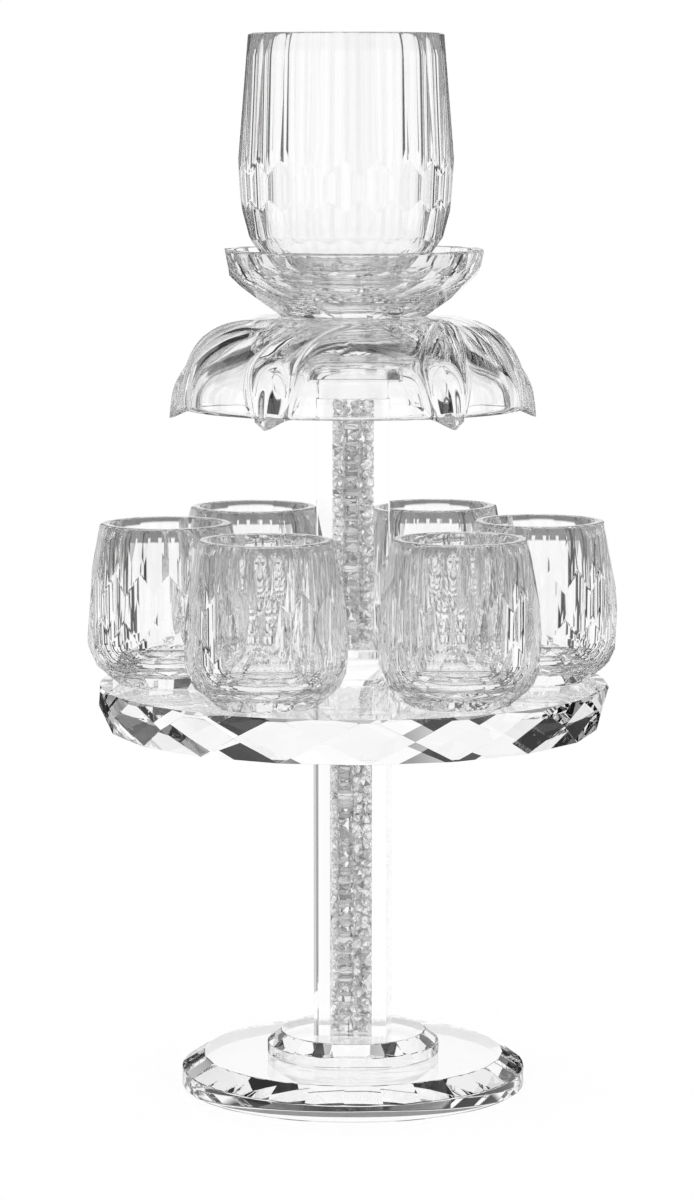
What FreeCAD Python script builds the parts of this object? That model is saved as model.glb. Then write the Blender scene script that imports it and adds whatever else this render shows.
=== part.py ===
import FreeCAD, Part
import math
import os
import random

from FreeCAD import Placement, Rotation, Vector

# A clear crystal wine fountain, in millimetres. +Z is up, and the origin is the
# middle of the base's underside. Front is -Y. Everything is stacked on one axis,
# so each piece's level comes from the heights of the pieces under it.

# Base and plinth discs: an upright polished edge under a ring of flat bevels.
base_diameter = 128.0
base_edge_height = 6.3
base_bevel_rise = 5.35
base_bevel_run = 8.4
plinth_diameter = 64.0
plinth_edge_height = 4.0
plinth_bevel_rise = 4.4
plinth_bevel_run = 5.2
disc_bevel_count = 28

# Square columns: thick glass tubes filled with crushed crystal behind and beside a clear
# glass rod, which stands against the middle of the tube's front wall.
column_side = 27.0
column_wall = 5.7
lower_column_length = 114.8
upper_column_length = 97.6
lower_column_turn = -8.1
upper_column_turn = -3.4
core_rod_diameter = 6.2
lower_rod_offset = -2.2
upper_rod_offset = -0.8
plug_height = 2.6
fill_gap = 0.2

# Crushed crystal: angular stones, one to a cell of an uneven lattice.
stone_size = 5.0
stone_gap = 0.3
stone_unevenness = 0.7
stone_seed = 11

# Clear square blocks under and over the upper column.
foot_block_height = 10.4
neck_block_height = 10.4
block_corner_chamfer = 0.8

# Tray: a thick round plate whose edge is cut into a ring of diamonds.
tray_thickness = 16.5
tray_margin = 3.9
tray_diamond_count = 18
tray_diamond_slope = 0.27
tray_diamond_corner_height = 8.4
tray_upper_triangle_slope = -0.06
tray_top_chamfer = 1.0

# Small cups, and the ring that they stand on. An outline gives the distance of the
# flats from the axis at each height, and one row of flats spans each step of it.
cup_count = 6
cup_ring_radius = 69.0
cup_facet_count = 16
cup_outline = [(17.6, 0.0), (25.6, 6.8), (28.5, 13.4), (28.9, 22.0), (27.6, 39.6), (23.8, 59.6)]
cup_bore_mouth_radius = 20.5
cup_bore_floor_radius = 18.6
cup_bore_corner_radius = 7.0
cup_floor_thickness = 9.0
cup_turn_step = 7.0
tray_foot_radius = cup_ring_radius + cup_outline[0][0] + tray_margin

# Goblet: the large cup that stands loose in the bowl, a little to the left of its middle.
goblet_facet_count = 20
goblet_outline = [(17.0, 0.0), (27.6, 11.6), (34.8, 21.2), (38.2, 34.0), (39.2, 47.6), (35.3, 95.9)]
goblet_bore_mouth_radius = 32.3
goblet_bore_floor_radius = 31.4
goblet_bore_corner_radius = 20.0
goblet_floor_thickness = 7.5
goblet_turn = 4.5
goblet_shift = -2.6
goblet_foot_room = 4.0

# Bowl: sixteen flats round, with a ring of small triangles under the rim flats.
bowl_facet_count = 16
bowl_height = 24.3
bowl_foot_radius = 26.4
bowl_low_break = (38.0, 8.3)
bowl_triangle_base = (44.5, 14.6)
bowl_triangle_tip_height = 18.0
bowl_rim_radius = 47.3
bowl_rim_slope = 0.2
bowl_wall = 3.6
bowl_floor_thickness = 6.6
bowl_floor_radius = goblet_outline[0][0] + goblet_foot_room
bowl_corner_inset = 4.3
drain_hole_radius = 1.5
drain_hole_angle = 24.0

# Spout dome: a pressed glass shell. Six gutters start beside its crown and run straight
# out in plan, past the axis at a distance, then down the side to their drip lips.
dome_height = 33.8
dome_hem_radius = 62.5
dome_crown_radius = 26.8
dome_round_exponent = 2.55
dome_wall = 4.6
dome_crown_thickness = 7.2
dome_boss_margin = 5.0
dome_boss_radius = column_side / 2 + dome_boss_margin
dome_boss_thickness = 17.3
spout_count = 6
spout_turn = -1.0
spout_axis_distance = 31.9
spout_start_margin = 1.6
spout_bend_margin = 2.9
spout_ridge_height = 1.5
spout_ridge_width = 4.4
spout_gutter_width = 16.0
spout_gutter_pinch = 8.4
lip_drop = 3.6
lip_half_width = 6.2
lip_half_depth = 4.2
lip_overhang = 1.2
lip_shoulder_height = 1.4
lip_root_height = 11.0
lip_root_half_width = 1.4
section_levels = 11
section_points_per_spout = 24
ceiling_points = 12

# Levels of the stack.
base_top = base_edge_height + base_bevel_rise
plinth_top = base_top + plinth_edge_height + plinth_bevel_rise
tray_bottom = plinth_top + lower_column_length
tray_top = tray_bottom + tray_thickness
foot_block_top = tray_top + foot_block_height
upper_column_top = foot_block_top + upper_column_length
neck_top = upper_column_top + neck_block_height
dome_top = neck_top + dome_boss_thickness
dome_hem = dome_top - dome_height
bowl_floor = dome_top + bowl_floor_thickness
front_left = -120.0
overrun = 1.0
fine = 1e-6


def ray(angle, radius=1.0, level=0.0):
    """A point at this angle in degrees, radius and level."""
    turn = math.radians(angle)
    return Vector(radius * math.cos(turn), radius * math.sin(turn), level)


def ring_of_flats(count, first_angle, radius, level, slope):
    """Cutting planes round the axis; slope is the radius gained for each millimetre up."""
    planes = []
    for step in range(count):
        outward = ray(first_angle + 360.0 * step / count)
        normal = Vector(outward.x, outward.y, -slope)
        planes.append((normal, radius - slope * level))
    return planes


def flats_from_outline(outline, count, first_angle=0.0):
    """One row of flats for each step of an outline, each row half a flat round from the last."""
    planes = []
    for row, ((low_radius, low), (high_radius, high)) in enumerate(zip(outline, outline[1:])):
        slope = (high_radius - low_radius) / (high - low)
        half_turn = 180.0 / count if row % 2 else 0.0
        planes += ring_of_flats(count, first_angle + half_turn, low_radius, low, slope)
    return planes


def clip(polygons, normal, distance):
    """Keeps the side of a convex body where normal . point <= distance, and closes the cut."""
    kept, rim = [], []
    for polygon in polygons:
        new = []
        for here, there in zip(polygon, polygon[1:] + polygon[:1]):
            height_here = normal.dot(here) - distance
            height_there = normal.dot(there) - distance
            if height_here <= fine:
                new.append(here)
                if height_here >= -fine:
                    rim.append(here)
            if (height_here > fine and height_there < -fine) or (height_here < -fine and height_there > fine):
                share = height_here / (height_here - height_there)
                point = here + (there - here) * share
                new.append(point)
                rim.append(point)
        if len(new) > 2:
            kept.append(new)
    corners = []
    for point in rim:
        if all((point - other).Length > 10 * fine for other in corners):
            corners.append(point)
    if len(corners) > 2:
        centre = sum(corners, Vector()) * (1.0 / len(corners))
        along = (corners[0] - centre).normalize()
        across = normal.cross(along).normalize()
        corners.sort(key=lambda p: math.atan2((p - centre).dot(across), (p - centre).dot(along)))
        kept.append(corners)
    return kept


def solid_from_polygons(polygons):
    """A solid from flat faces that meet along whole edges."""
    faces = [Part.Face(Part.makePolygon(polygon + polygon[:1])) for polygon in polygons]
    shell = Part.makeShell(faces)
    shell.sewShape()
    solid = Part.makeSolid(shell)
    if solid.Volume < 0:
        solid.reverse()
    return solid


def cut_body(planes, reach, low, high):
    """A convex body: a square block of this half width, from low to high, cut by every plane."""
    corner = [Vector(x, y, z) for z in (low, high) for x, y in
              ((-reach, -reach), (reach, -reach), (reach, reach), (-reach, reach))]
    sides = [(0, 3, 2, 1), (4, 5, 6, 7), (0, 1, 5, 4), (1, 2, 6, 5), (2, 3, 7, 6), (3, 0, 4, 7)]
    polygons = [[corner[i] for i in side] for side in sides]
    for normal, distance in planes:
        polygons = clip(polygons, normal, distance)
    return solid_from_polygons(polygons)


def turned(edges):
    """A solid of revolution about Z from edges in the XZ plane that close on themselves."""
    return Part.Face(Part.Wire(edges)).revolve(Vector(0, 0, 0), Vector(0, 0, 1), 360)


def bevelled_disc(diameter, edge_height, bevel_rise, bevel_run, bottom):
    """A disc with a round upright edge and a ring of flat bevels above it."""
    radius = diameter / 2
    bevels = ring_of_flats(disc_bevel_count, 0.0, radius, bottom + edge_height, -bevel_run / bevel_rise)
    top = bottom + edge_height + bevel_rise
    return cut_body(bevels, diameter, bottom, top).common(Part.makeCylinder(radius, top, Vector(0, 0, 0)))


def square_bar(side, bottom, height, turn):
    """An upright square bar on the axis, turned about it."""
    bar = Part.makeBox(side, side, height, Vector(-side / 2, -side / 2, bottom))
    bar.rotate(Vector(0, 0, 0), Vector(0, 0, 1), turn)
    return bar


def column_tube(bottom, length, turn):
    hole = column_side - 2 * column_wall
    return square_bar(column_side, bottom, length, turn).cut(square_bar(hole, bottom, length, turn))


def clear_block(bottom, height, turn):
    """A square glass block of the column's own width, with its upright corners chamfered."""
    block = square_bar(column_side, bottom, height, turn)
    upright = [edge for edge in block.Edges if abs(edge.tangentAt(edge.FirstParameter).z) > 0.9]
    return block.makeChamfer(block_corner_chamfer, upright)


def stone(corners):
    """An angular stone from the eight corners of an uneven cell, two triangles to a side."""
    middle = sum(corners, Vector()) * (1.0 / 8)
    shrink = 1.0 - stone_gap / stone_size
    c = [middle + (corner - middle) * shrink for corner in corners]
    sides = [(0, 2, 3, 1), (4, 5, 7, 6), (0, 1, 5, 4), (2, 6, 7, 3), (0, 4, 6, 2), (1, 3, 7, 5)]
    triangles = []
    for a, b, d, e in sides:
        triangles += [[c[a], c[b], c[d]], [c[a], c[d], c[e]]]
    return solid_from_polygons(triangles)


def stones_in_box(low, high, chance):
    """Stones that fill a box: an even lattice whose inner corners are moved at random."""
    counts = [max(1, round((h - l) / stone_size)) for l, h in zip(low, high)]
    steps = [(h - l) / n for l, h, n in zip(low, high, counts)]
    corner = {}
    for i in range(counts[0] + 1):
        for j in range(counts[1] + 1):
            for k in range(counts[2] + 1):
                spot = []
                for index, count, step, start in zip((i, j, k), counts, steps, low):
                    free = 0 < index < count
                    shift = chance.uniform(-stone_unevenness, stone_unevenness) if free else 0.0
                    spot.append(start + index * step + shift)
                corner[i, j, k] = Vector(*spot)
    stones = []
    for i in range(counts[0]):
        for j in range(counts[1]):
            for k in range(counts[2]):
                cell = [corner[i + a, j + b, k + c] for c in (0, 1) for b in (0, 1) for a in (0, 1)]
                stones.append(stone(cell))
    return stones


def rod_middle():
    """How far the rod's middle lies behind the column's axis; it is in front, so below zero."""
    return fill_gap + core_rod_diameter / 2 - (column_side / 2 - column_wall)


def crystal_fill(bottom, length, turn, rod_offset, chance):
    """Crushed crystal to the left, to the right and behind the glass rod inside a column."""
    half = column_side / 2 - column_wall - fill_gap
    room = core_rod_diameter / 2 + fill_gap
    left, right, back = rod_offset - room, rod_offset + room, rod_middle() + room
    stones = []
    low, high = bottom + fill_gap, bottom + length - fill_gap
    for low_x, high_x, low_y in ((-half, left, -half), (right, half, -half), (left, right, back)):
        stones += stones_in_box((low_x, low_y, low), (high_x, half, high), chance)
    fill = Part.makeCompound(stones)
    fill.rotate(Vector(0, 0, 0), Vector(0, 0, 1), turn)
    return fill


def core_rod(bottom, length, turn, offset):
    rod = Part.makeCylinder(core_rod_diameter / 2, length - 2 * fill_gap,
                            Vector(offset, rod_middle(), bottom + fill_gap))
    rod.rotate(Vector(0, 0, 0), Vector(0, 0, 1), turn)
    return rod


def make_tray():
    """A plate whose edge is a ring of diamonds with small triangles above and below their corners."""
    half_step = 180.0 / tray_diamond_count
    squeeze = math.cos(math.radians(half_step))
    diamonds = ring_of_flats(tray_diamond_count, front_left + half_step, tray_foot_radius, tray_bottom,
                             tray_diamond_slope)
    corner_flat = tray_foot_radius + tray_diamond_slope * tray_diamond_corner_height
    corner_level = tray_bottom + tray_diamond_corner_height
    low_slope = (corner_flat / squeeze - tray_foot_radius * squeeze) / tray_diamond_corner_height
    corner_radius = corner_flat / squeeze
    low_triangles = ring_of_flats(tray_diamond_count, front_left, corner_radius, corner_level, low_slope)
    high_triangles = ring_of_flats(tray_diamond_count, front_left, corner_radius, corner_level,
                                   tray_upper_triangle_slope)
    top_radius = tray_foot_radius + tray_diamond_slope * (tray_thickness - tray_top_chamfer)
    chamfer_level = tray_top - tray_top_chamfer
    chamfer = ring_of_flats(4 * tray_diamond_count, front_left, top_radius, chamfer_level, -1.0)
    planes = diamonds + low_triangles + high_triangles + chamfer
    return cut_body(planes, 2 * tray_foot_radius, tray_bottom, tray_top)


def drinking_cup(outline, facet_count, mouth_radius, floor_radius, corner_radius, floor_thickness):
    """A faceted cup on the axis with a smooth round bore, standing at level zero."""
    height = outline[-1][1]
    widest = max(radius for radius, level in outline)
    body = cut_body(flats_from_outline(outline, facet_count), 2 * widest, 0.0, height)
    lean = (mouth_radius - floor_radius) / (height - floor_thickness)
    bend = corner_radius * math.sqrt(0.5)
    centre_radius = floor_radius - corner_radius
    centre_level = floor_thickness + corner_radius
    side_start = Vector(floor_radius, 0, centre_level)
    middle = Vector(centre_radius + bend, 0, centre_level - bend)
    floor_end = Vector(centre_radius, 0, floor_thickness)
    mouth = Vector(mouth_radius + lean * overrun, 0, height + overrun)
    edges = [Part.makeLine(Vector(0, 0, floor_thickness), floor_end),
             Part.Arc(floor_end, middle, side_start).toShape(),
             Part.makeLine(side_start, mouth),
             Part.makeLine(mouth, Vector(0, 0, height + overrun)),
             Part.makeLine(Vector(0, 0, height + overrun), Vector(0, 0, floor_thickness))]
    return body.cut(turned(edges))


def make_bowl():
    """The bowl that takes the goblet's foot, with drain holes round its floor."""
    flat = 360.0 / bowl_facet_count
    squeeze = math.cos(math.radians(flat / 2))
    rim_level = dome_top + bowl_height
    tip_level = dome_top + bowl_triangle_tip_height
    tip_radius = (bowl_rim_radius - bowl_rim_slope * (rim_level - tip_level)) / squeeze
    low_radius, low = bowl_low_break
    base_radius, base = bowl_triangle_base
    triangle_slope = (tip_radius - base_radius) / (bowl_triangle_tip_height - base)
    side_slope = (base_radius - low_radius) / (base - low)
    foot_slope = (low_radius - bowl_foot_radius) / low
    planes = ring_of_flats(bowl_facet_count, 0.0, bowl_rim_radius, rim_level, bowl_rim_slope)
    planes += ring_of_flats(bowl_facet_count, flat / 2, base_radius, dome_top + base, triangle_slope)
    planes += ring_of_flats(bowl_facet_count, flat / 2, base_radius, dome_top + base, side_slope)
    planes += ring_of_flats(bowl_facet_count, 0.0, bowl_foot_radius, dome_top, foot_slope)
    body = cut_body(planes, 2 * bowl_rim_radius, dome_top, rim_level)
    inner_rim = bowl_rim_radius - bowl_wall
    inner_base = base_radius - bowl_wall
    mouth = Vector(inner_rim, 0, rim_level + overrun)
    shoulder = Vector(inner_base, 0, dome_top + base + bowl_wall / 2)
    floor_end = Vector(bowl_floor_radius, 0, bowl_floor)
    corner = Vector(low_radius - bowl_corner_inset, 0, bowl_floor + bowl_wall)
    sweep = Part.Arc(floor_end, corner, shoulder)
    edges = [Part.makeLine(Vector(0, 0, bowl_floor), floor_end), sweep.toShape(),
             Part.makeLine(shoulder, mouth), Part.makeLine(mouth, Vector(0, 0, rim_level + overrun)),
             Part.makeLine(Vector(0, 0, rim_level + overrun), Vector(0, 0, bowl_floor))]
    bowl = body.cut(turned(edges))
    for index in range(spout_count):
        angle = front_left + 360.0 * index / spout_count
        start = ray(angle, bowl_floor_radius - overrun, bowl_floor + drain_hole_radius)
        slant = ray(angle, 1.0, -math.tan(math.radians(drain_hole_angle)))
        bowl = bowl.cut(Part.makeCylinder(drain_hole_radius, bowl_foot_radius, start, slant))
    return bowl


def dome_radius(level, hem_radius, crown_radius, height):
    """Radius of a rounded dome at this level above its hem."""
    share = min(1.0, max(0.0, level / height))
    swell = (1.0 - share ** dome_round_exponent) ** (1.0 / dome_round_exponent)
    return crown_radius + (hem_radius - crown_radius) * swell


def gutter_turn(radius):
    """How far round a gutter has come from its lip at this radius, in degrees."""
    bend = dome_hem_radius - spout_bend_margin
    inside = min(bend, max(radius, spout_axis_distance + spout_start_margin))
    return math.degrees(math.acos(spout_axis_distance / bend) - math.acos(spout_axis_distance / inside))


def dome_section(level):
    """One closed level curve of the dome. Its points turn with the gutters, so that point by
    point the ridges beside each gutter run on from one level to the next."""
    radius = dome_radius(level, dome_hem_radius, dome_crown_radius, dome_height)
    rise = level / dome_height
    gutter = spout_gutter_pinch + (spout_gutter_width - spout_gutter_pinch) * (1.0 - (2.0 * rise - 1.0) ** 2)
    count = spout_count * section_points_per_spout
    pitch = 360.0 / spout_count
    points = []
    for index in range(count):
        turn = 360.0 * index / count
        offset = math.radians((turn + pitch / 2) % pitch - pitch / 2) * radius
        ridge = 0.0
        for side in (-0.5, 0.5):
            ridge += math.exp(-((offset - side * gutter) / (spout_ridge_width / 2)) ** 2)
        angle = front_left + spout_turn + gutter_turn(radius) + turn
        points.append(ray(angle, radius + spout_ridge_height * ridge, dome_hem + level))
    curve = Part.BSplineCurve()
    curve.interpolate(Points=points, PeriodicFlag=True, Parameters=[float(i) for i in range(count + 1)])
    return Part.Wire(curve.toShape())


def make_dome():
    """The spout dome: a lofted shell, hollow underneath round a boss, with its drip lips."""
    levels = [dome_height * math.sin(math.pi / 2 * step / section_levels) for step in range(section_levels + 1)]
    shell = Part.makeLoft([dome_section(level) for level in levels], True, False)
    hollow_height = dome_height - dome_crown_thickness
    hollow_radius = dome_hem_radius - dome_wall
    curve_points = []
    for step in range(ceiling_points + 1):
        level = hollow_height * math.sin(math.pi / 2 * step / ceiling_points)
        curve_points.append(Vector(dome_radius(level, hollow_radius, dome_boss_radius, hollow_height), 0,
                                   dome_hem + level))
    ceiling = Part.BSplineCurve()
    ceiling.interpolate(curve_points)
    below = dome_hem - overrun
    boss_foot = Vector(dome_boss_radius, 0, neck_top)
    edges = [Part.makeLine(Vector(0, 0, below), Vector(hollow_radius, 0, below)),
             Part.makeLine(Vector(hollow_radius, 0, below), curve_points[0]),
             ceiling.toShape(),
             Part.makeLine(curve_points[-1], boss_foot),
             Part.makeLine(boss_foot, Vector(0, 0, neck_top)),
             Part.makeLine(Vector(0, 0, neck_top), Vector(0, 0, below))]
    dome = shell.cut(turned(edges))
    lip_root = Vector(0, 0, dome_hem + lip_root_height)
    tip = Vector(0, 0, dome_hem - lip_drop)
    shoulder = Vector(lip_half_width, 0, dome_hem + lip_shoulder_height)
    curve_rise = shoulder.z - tip.z
    curve_radius = (lip_half_width ** 2 + curve_rise ** 2) / (2 * curve_rise)
    half_sweep = math.asin(lip_half_width / curve_radius) / 2
    belly = tip + Vector(curve_radius * math.sin(half_sweep), 0, curve_radius * (1 - math.cos(half_sweep)))
    neck = lip_root + Vector(lip_root_half_width, 0, 0)
    profile = [Part.Arc(tip, belly, shoulder).toShape(), Part.makeLine(shoulder, neck),
               Part.makeLine(neck, lip_root), Part.makeLine(lip_root, tip)]
    flatten = FreeCAD.Matrix()
    flatten.scale(Vector(lip_half_depth / lip_half_width, 1.0, 1.0))
    drop = turned(profile).transformGeometry(flatten)
    for index in range(spout_count):
        angle = front_left + spout_turn + 360.0 * index / spout_count
        dome = dome.fuse(set_down(drop, angle, dome_hem_radius + lip_overhang, 0.0, angle))
    return dome


def set_down(shape, angle, radius, level, turn):
    """A copy of a shape turned about its own axis and moved to a place on a ring."""
    copy = shape.copy()
    copy.Placement = Placement(ray(angle, radius, level), Rotation(Vector(0, 0, 1), turn))
    return copy


def save(name, shape):
    """Checks a node and writes its file."""
    for solid in shape.Solids:
        if not solid.isValid() or solid.Volume <= 0:
            print("NOT VALID:", name)
    shape.exportStep("parts/" + name + ".step")
    box = shape.BoundBox
    print("%-20s solids %3d  volume %9.1f  z %7.2f to %7.2f  width %6.1f" % (
        name, len(shape.Solids), shape.Volume, box.ZMin, box.ZMax, box.XLength))


def main():
    os.makedirs("parts", exist_ok=True)
    chance = random.Random(stone_seed)

    save("base_disc", bevelled_disc(base_diameter, base_edge_height, base_bevel_rise, base_bevel_run, 0.0))
    save("plinth_disc", bevelled_disc(plinth_diameter, plinth_edge_height, plinth_bevel_rise,
                                      plinth_bevel_run, base_top))

    save("lower_column_tube", column_tube(plinth_top, lower_column_length, lower_column_turn))
    save("lower_core_rod", core_rod(plinth_top, lower_column_length, lower_column_turn, lower_rod_offset))
    save("lower_crystals", crystal_fill(plinth_top, lower_column_length, lower_column_turn,
                                        lower_rod_offset, chance))

    save("tray", make_tray())

    cup = drinking_cup(cup_outline, cup_facet_count, cup_bore_mouth_radius, cup_bore_floor_radius,
                       cup_bore_corner_radius, cup_floor_thickness)
    for index in range(cup_count):
        angle = front_left + 360.0 * index / cup_count
        turn = angle + cup_turn_step * index
        save("cup_%d" % (index + 1), set_down(cup, angle, cup_ring_radius, tray_top, turn))

    save("foot_block", clear_block(tray_top, foot_block_height, upper_column_turn))
    plug_side = column_side - 2 * column_wall
    save("upper_column_tube", column_tube(foot_block_top, upper_column_length, upper_column_turn))
    save("upper_column_plug", square_bar(plug_side, foot_block_top, plug_height, upper_column_turn))
    filled_from = foot_block_top + plug_height
    filled_length = upper_column_length - plug_height
    save("upper_core_rod", core_rod(filled_from, filled_length, upper_column_turn, upper_rod_offset))
    save("upper_crystals", crystal_fill(filled_from, filled_length, upper_column_turn,
                                        upper_rod_offset, chance))
    save("neck_block", clear_block(upper_column_top, neck_block_height, upper_column_turn))

    save("spout_dome", make_dome())
    save("drain_bowl", make_bowl())

    goblet = drinking_cup(goblet_outline, goblet_facet_count, goblet_bore_mouth_radius,
                          goblet_bore_floor_radius, goblet_bore_corner_radius, goblet_floor_thickness)
    save("goblet", set_down(goblet, 0.0, goblet_shift, bowl_floor, goblet_turn))


main()
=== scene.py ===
import itertools
import math
import random

import bmesh
import bpy
from mathutils import Matrix, Vector


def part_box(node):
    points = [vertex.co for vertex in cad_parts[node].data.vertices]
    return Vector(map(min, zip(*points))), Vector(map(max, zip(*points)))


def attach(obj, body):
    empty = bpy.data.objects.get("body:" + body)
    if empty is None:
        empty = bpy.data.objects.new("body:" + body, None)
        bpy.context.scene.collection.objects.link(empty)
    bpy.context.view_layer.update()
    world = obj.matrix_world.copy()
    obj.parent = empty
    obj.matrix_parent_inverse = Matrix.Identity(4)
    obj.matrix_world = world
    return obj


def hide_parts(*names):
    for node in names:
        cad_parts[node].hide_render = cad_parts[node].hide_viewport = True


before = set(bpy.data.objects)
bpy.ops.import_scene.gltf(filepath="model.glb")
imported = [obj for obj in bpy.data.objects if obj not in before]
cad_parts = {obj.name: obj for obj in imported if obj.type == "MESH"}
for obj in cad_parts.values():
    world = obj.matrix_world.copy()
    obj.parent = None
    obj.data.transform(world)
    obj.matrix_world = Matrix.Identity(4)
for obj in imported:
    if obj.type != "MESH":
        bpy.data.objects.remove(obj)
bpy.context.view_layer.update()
print("frame loaded:", len(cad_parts), "nodes")

mm = 0.001
fullTurn = 2 * math.pi
cupCount = 6  # as many gutters and drain holes as cups
pitch = 360 / cupCount  # degrees from one cup, gutter or drain hole to the next
frontLeft = -120.0  # degrees from +X; the first cup, gutter and drain hole are here
seatGap = 0.08  # mm of air under each piece, so that two faces of glass never lie in one plane
touch = 0.001  # mm; points nearer than this are one point
hair = 0.01  # mm off a level, or lean of a normal, that still counts as level or upright
blankRoom = 1.2  # a blank is this much wider than the piece that is ground from it
cupBlankRoom = 1.1  # the same for the cups and the goblet


# helpers for shapes; all is in millimetres until addPiece

def bottomOf(node):
    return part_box(node)[0].z / mm + seatGap


def topOf(node):
    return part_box(node)[1].z / mm


def outwardAt(angle):
    return Vector((math.cos(math.radians(angle)), math.sin(math.radians(angle)), 0.0))


def blankCylinder(bm, radius, low, high, segments):
    made = bmesh.ops.create_cone(bm, cap_ends=True, segments=segments, radius1=radius, radius2=radius,
                                 depth=high - low)
    bmesh.ops.translate(bm, vec=(0, 0, (low + high) / 2), verts=made["verts"])


def cutFlat(bm, angle, radius, level, lean):
    # grinds one flat: it faces outwards at this angle, and its radius grows by lean for each millimetre up
    point = outwardAt(angle) * radius + Vector((0, 0, level))
    facing = (outwardAt(angle) - Vector((0, 0, lean))).normalized()
    shape = bm.verts[:] + bm.edges[:] + bm.faces[:]
    cut = bmesh.ops.bisect_plane(bm, geom=shape, dist=touch, plane_co=point, plane_no=facing,
                                 clear_outer=True)
    rim = [part for part in cut["geom_cut"] if isinstance(part, bmesh.types.BMEdge)]
    if len(rim) > 2:
        bmesh.ops.contextual_create(bm, geom=rim)


def cutRing(bm, count, firstAngle, radius, level, lean):
    for number in range(count):
        cutFlat(bm, firstAngle + 360 * number / count, radius, level, lean)


def cutRows(bm, rows, count):
    # one ring of flats for each step of the outline, each ring half a flat round from the last
    for number, ((lowRadius, low), (highRadius, high)) in enumerate(zip(rows, rows[1:])):
        lean = (highRadius - lowRadius) / (high - low)
        cutRing(bm, count, 180 / count if number % 2 else 0, lowRadius, low, lean)


def roundEdges(bm, edges, width, segments=2):
    bmesh.ops.bevel(bm, geom=edges, offset=width, offset_type="OFFSET", segments=segments, profile=0.5,
                    affect="EDGES", clamp_overlap=True, material=-1)


def sharpEdges(bm, least=8.0):
    return [edge for edge in bm.edges if edge.is_manifold and edge.calc_face_angle() > math.radians(least)]


def uprightEdges(bm, least=1.0):
    return [edge for edge in bm.edges if abs(edge.verts[0].co.z - edge.verts[1].co.z) > least]


def ringAt(bm, level):
    # a ring of new edges round every wall at this level
    shape = bm.verts[:] + bm.edges[:] + bm.faces[:]
    bmesh.ops.bisect_plane(bm, geom=shape, dist=touch, plane_co=(0, 0, level), plane_no=(0, 0, 1))


def smoothWalls(bm, low, high):
    # upright walls are round and the other faces flat; a ring near each end keeps the wall's shading upright
    ringAt(bm, low)
    ringAt(bm, high)
    bm.normal_update()
    for face in bm.faces:
        face.smooth = abs(face.normal.z) < hair


def openTop(bm, level, edgeRound):
    # rounds the ground edges below the rim, takes the flat top off and returns the edges round the opening
    ground = [edge for edge in sharpEdges(bm) if min(vert.co.z for vert in edge.verts) < level - hair]
    roundEdges(bm, ground, edgeRound)
    lid = [face for face in bm.faces
           if face.normal.z > 1 - hair and face.calc_center_median().z > level - hair]
    bmesh.ops.delete(bm, geom=lid, context="FACES_ONLY")
    bmesh.ops.delete(bm, geom=[edge for edge in bm.edges if edge.is_wire], context="EDGES")
    return [edge for edge in bm.edges if edge.is_boundary]


def arcPoints(centre, radius, start, end, steps):
    # points (radius, level) of an arc in the plane of a profile, angles in degrees
    points = []
    for number in range(steps + 1):
        angle = math.radians(start + (end - start) * number / steps)
        points.append((centre[0] + radius * math.cos(angle), centre[1] + radius * math.sin(angle)))
    return points


def arcThrough(points, steps):
    # the arc of the one circle that passes through three profile points
    (ax, ay), (bx, by), (cx, cy) = points
    twist = 2 * (ax * (by - cy) + bx * (cy - ay) + cx * (ay - by))
    a, b, c = (x * x + y * y for x, y in points)
    middleX = (a * (by - cy) + b * (cy - ay) + c * (ay - by)) / twist
    middleY = (a * (cx - bx) + b * (ax - cx) + c * (bx - ax)) / twist
    start, end = (math.degrees(math.atan2(y - middleY, x - middleX)) for x, y in (points[0], points[2]))
    return arcPoints((middleX, middleY), math.hypot(ax - middleX, ay - middleY), start, end, steps)


def spinProfile(bm, points, steps):
    # turns a profile of (radius, level) points about Z and returns the new faces, shaded smooth
    before = set(bm.faces)
    verts = [bm.verts.new((radius, 0, level)) for radius, level in points]
    edges = [bm.edges.new(pair) for pair in zip(verts, verts[1:])]
    bmesh.ops.spin(bm, geom=verts + edges, cent=(0, 0, 0), axis=(0, 0, 1), angle=fullTurn, steps=steps,
                   use_merge=True)
    middle = [vert for vert in bm.verts
              if vert.co.xy.length < touch / 2 and any(face not in before for face in vert.link_faces)]
    bmesh.ops.remove_doubles(bm, verts=middle, dist=touch)
    faces = [face for face in bm.faces if face not in before]
    for face in faces:
        face.smooth = True
    return faces


def openLoop(faces):
    return [edge for face in faces for edge in face.edges if edge.is_boundary]


def addPiece(name, bm, body, node, material, place=None):
    # place is in millimetres: it is put into the mesh, so that the object itself stays at the origin
    bmesh.ops.recalc_face_normals(bm, faces=bm.faces)
    if place is not None:
        bmesh.ops.transform(bm, matrix=place, verts=bm.verts)
    bmesh.ops.scale(bm, vec=(mm, mm, mm), verts=bm.verts)
    mesh = bpy.data.meshes.new(name)
    bm.to_mesh(mesh)
    bm.free()
    mesh.materials.append(material)
    piece = bpy.data.objects.new(name, mesh)
    bpy.context.scene.collection.objects.link(piece)
    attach(piece, body)
    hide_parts(node)
    return piece


# materials

def linearColour(hexValue):
    channels = [int(hexValue[index:index + 2], 16) / 255 for index in (1, 3, 5)]
    return [c / 12.92 if c <= 0.04045 else ((c + 0.055) / 1.055) ** 2.4 for c in channels] + [1.0]


def addNode(tree, kind, settings=None, links=None):
    # a node with its settings, and its inputs linked to (node, output) pairs; an input goes by name or number
    node = tree.nodes.new(kind)
    for name, value in (settings or {}).items():
        if isinstance(name, int) or name in node.inputs.keys():
            node.inputs[name].default_value = value
        else:
            setattr(node, name, value)
    for name, (source, output) in (links or {}).items():
        tree.links.new(source.outputs[output], node.inputs[name])
    return node


def newTree(block):
    block.use_nodes = True
    block.node_tree.nodes.clear()
    return block.node_tree


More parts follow.
